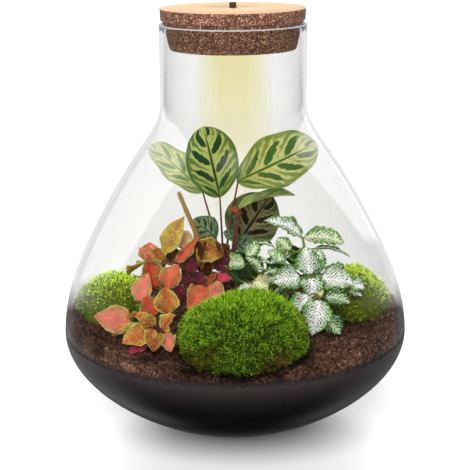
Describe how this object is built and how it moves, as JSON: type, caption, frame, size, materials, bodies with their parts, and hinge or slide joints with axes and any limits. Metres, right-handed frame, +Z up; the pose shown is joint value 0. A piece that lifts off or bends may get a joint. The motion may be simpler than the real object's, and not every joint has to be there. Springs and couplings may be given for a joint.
{
  "type": "glass plant terrarium",
  "caption": "Stoppered glass jar planted as a closed terrarium, with soil, moss cushions, a calathea, red and white fittonias and a lamp in the cork stopper.",
  "frame": {"origin": "on the table under the middle of the jar, at the centre of the whole object's footprint", "axes": "+Z up along the jar's axis, -Y to the front that the picture shows, +X to the viewer's right"},
  "size_m": [0.246, 0.246, 0.304],
  "materials": {
    "clear_glass": "clear blown glass, smoke-black coat on the bowl below the widest ring",
    "cork": "pressed granulated cork, fine sanded top, coarse sides",
    "lamp_plastic": "moulded white",
    "lamp_lens": "frosted warm white, lit",
    "lamp_board": "white solder mask",
    "cell_steel": "plain",
    "switch_brown": "moulded brown, satin",
    "clay_pebbles": "fired clay, matt",
    "soil": "damp fibrous potting soil",
    "moss": "dense living cushion moss",
    "calathea_leaf": "satin leaf, pale green with dark green ovals and margin",
    "calathea_stem": "purple-brown stalk",
    "red_fittonia_leaf": "satin leaf, coral red with a fine green net and margin",
    "red_fittonia_stem": "brown green stem",
    "white_fittonia_leaf": "satin leaf, cream white with a dark green net and margin",
    "white_fittonia_stem": "pale green stem"
  },
  "bodies": {
    "root": {"glass_jar": "clear_glass", "cork_stopper": "cork", "lamp_housing": "lamp_plastic", "lamp_battery": "cell_steel", "lamp_board": "lamp_board", "lamp_diffuser": "lamp_lens", "lamp_switch": "switch_brown", "drainage_layer": "clay_pebbles", "soil_bed": "soil", "moss_front": "moss", "moss_left": "moss", "moss_right": "moss", "calathea_leaf_front": "calathea_leaf", "calathea_leaf_left": "calathea_leaf", "calathea_leaf_right": "calathea_leaf", "calathea_leaf_folded": "calathea_leaf", "calathea_leaf_dark": "calathea_leaf", "calathea_leaf_low_left": "calathea_leaf", "calathea_leaf_low_right": "calathea_leaf", "calathea_stems": "calathea_stem", "red_fittonia_leaf_a": "red_fittonia_leaf", "red_fittonia_leaf_b": "red_fittonia_leaf", "red_fittonia_leaf_c": "red_fittonia_leaf", "red_fittonia_leaf_d": "red_fittonia_leaf", "red_fittonia_leaf_e": "red_fittonia_leaf", "red_fittonia_leaf_f": "red_fittonia_leaf", "red_fittonia_leaf_h": "red_fittonia_leaf", "red_fittonia_leaf_i": "red_fittonia_leaf", "red_fittonia_leaf_j": "red_fittonia_leaf", "red_fittonia_leaf_l": "red_fittonia_leaf", "red_fittonia_leaf_m": "red_fittonia_leaf", "red_fittonia_leaf_n": "red_fittonia_leaf", "red_fittonia_leaf_o": "red_fittonia_leaf", "red_fittonia_leaf_p": "red_fittonia_leaf", "red_fittonia_leaf_q": "red_fittonia_leaf", "red_fittonia_leaf_r": "red_fittonia_leaf", "red_fittonia_leaf_s": "red_fittonia_leaf", "red_fittonia_leaf_t": "red_fittonia_leaf", "red_fittonia_leaf_u": "red_fittonia_leaf", "red_fittonia_leaf_v": "red_fittonia_leaf", "red_fittonia_leaf_w": "red_fittonia_leaf", "red_fittonia_stems": "red_fittonia_stem", "white_fittonia_leaf_a": "white_fittonia_leaf", "white_fittonia_leaf_b": "white_fittonia_leaf", "white_fittonia_leaf_c": "white_fittonia_leaf", "white_fittonia_leaf_d": "white_fittonia_leaf", "white_fittonia_leaf_e": "white_fittonia_leaf", "white_fittonia_leaf_f": "white_fittonia_leaf", "white_fittonia_leaf_g": "white_fittonia_leaf", "white_fittonia_leaf_h": "white_fittonia_leaf", "white_fittonia_leaf_i": "white_fittonia_leaf", "white_fittonia_leaf_j": "white_fittonia_leaf", "white_fittonia_leaf_k": "white_fittonia_leaf", "white_fittonia_leaf_l": "white_fittonia_leaf", "white_fittonia_leaf_m": "white_fittonia_leaf", "white_fittonia_leaf_n": "white_fittonia_leaf", "white_fittonia_leaf_o": "white_fittonia_leaf", "white_fittonia_leaf_p": "white_fittonia_leaf", "white_fittonia_leaf_q": "white_fittonia_leaf", "white_fittonia_stems": "white_fittonia_stem"}
  },
  "joints": []
}
